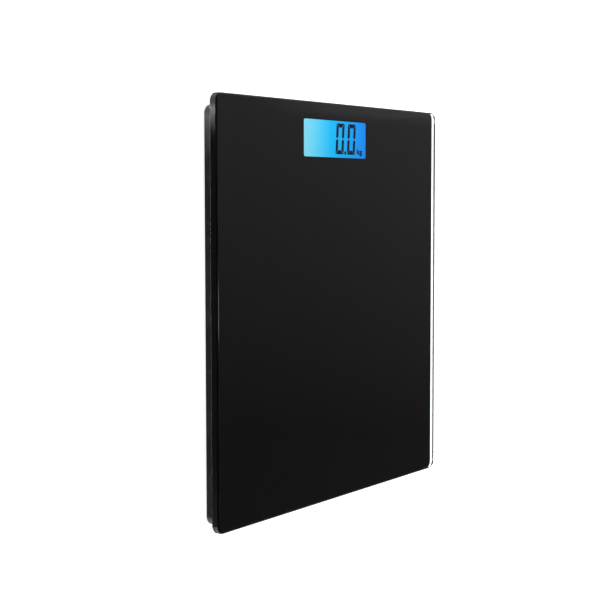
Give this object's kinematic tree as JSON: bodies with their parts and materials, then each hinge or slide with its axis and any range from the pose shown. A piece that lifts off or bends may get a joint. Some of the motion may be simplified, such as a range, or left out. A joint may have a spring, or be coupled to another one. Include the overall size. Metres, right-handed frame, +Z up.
{
  "type": "digital glass platform scale",
  "caption": "Slim digital platform scale: a square black-backed glass top on a shallow plastic casing, a blue backlit display under the glass, sensing feet below.",
  "frame": {"origin": "on the floor, under the middle of the square glass top", "axes": "+Z up out of the glass, +Y towards the display end, +X to the right of someone reading the display"},
  "size_m": [0.28, 0.28, 0.02],
  "materials": {
    "clear_glass": "polished toughened glass, clear with a slight blue-green rim",
    "black_film": "black printed film bonded under the glass",
    "black_plastic": "moulded plastic, half gloss on the outside walls",
    "foam": "double-sided foam tape",
    "black_rubber": "soft matt rubber",
    "steel": "stamped and plated steel",
    "screw_steel": "zinc-plated steel",
    "white_plastic": "moulded plastic",
    "light_plastic": "clear acrylic",
    "lit_display": "backlit liquid-crystal panel",
    "board_green": "fibreglass circuit board with solder mask",
    "black_epoxy": "epoxy and moulded switch body",
    "amber_film": "polyimide ribbon",
    "contact_brass": "sprung contact strip",
    "lead_red": "insulated lead"
  },
  "bodies": {
    "platform": {"glass_platform": "clear_glass", "backing_film": "black_film", "foam_tape_left": "foam", "foam_tape_right": "foam", "foam_tape_front": "foam", "foam_tape_back_left": "foam", "foam_tape_back_right": "foam", "casing": "black_plastic", "foot_pad_front_left": "black_rubber", "foot_shell_front_left": "black_plastic", "load_cell_front_left": "steel", "cell_holder_front_left": "white_plastic", "cell_screw_inner_front_left": "screw_steel", "cell_screw_outer_front_left": "screw_steel", "cell_lead_front_left": "lead_red", "foot_pad_front_right": "black_rubber", "foot_shell_front_right": "black_plastic", "load_cell_front_right": "steel", "cell_holder_front_right": "white_plastic", "cell_screw_inner_front_right": "screw_steel", "cell_screw_outer_front_right": "screw_steel", "cell_lead_front_right": "lead_red", "foot_pad_back_left": "black_rubber", "foot_shell_back_left": "black_plastic", "load_cell_back_left": "steel", "cell_holder_back_left": "white_plastic", "cell_screw_inner_back_left": "screw_steel", "cell_screw_outer_back_left": "screw_steel", "cell_lead_back_left": "lead_red", "foot_pad_back_right": "black_rubber", "foot_shell_back_right": "black_plastic", "load_cell_back_right": "steel", "cell_holder_back_right": "white_plastic", "cell_screw_inner_back_right": "screw_steel", "cell_screw_outer_back_right": "screw_steel", "cell_lead_back_right": "lead_red", "battery_lead_negative": "black_epoxy", "battery_lead_positive": "lead_red", "circuit_board": "board_green", "chip_cap": "black_epoxy", "board_screw_1": "screw_steel", "board_screw_2": "screw_steel", "board_screw_3": "screw_steel", "board_screw_4": "screw_steel", "tact_switch": "black_epoxy", "coin_battery": "steel", "battery_holder": "white_plastic", "contact_negative": "contact_brass", "contact_positive": "contact_brass", "lcd_panel": "lit_display", "light_guide": "light_plastic", "reflector_sheet": "white_plastic", "led_board": "board_green", "display_frame": "white_plastic", "display_screw_left": "screw_steel", "display_screw_right": "screw_steel", "display_ribbon": "amber_film"},
    "unit_button": {"unit_button": "black_plastic"},
    "battery_door": {"battery_door": "black_plastic"}
  },
  "joints": [
    {"name": "unit_button_press", "type": "slide", "parent": "platform", "child": "unit_button", "axis": [0, 0, 1], "range_m": [0, 0.0008], "stiffness_N_per_m": 2500},
    {"name": "battery_door_hinge", "type": "hinge", "parent": "platform", "child": "battery_door", "pos_m": [0, -0.0091, 0.0053], "axis": [-1, 0, 0], "range_deg": [0, 100]}
  ]
}
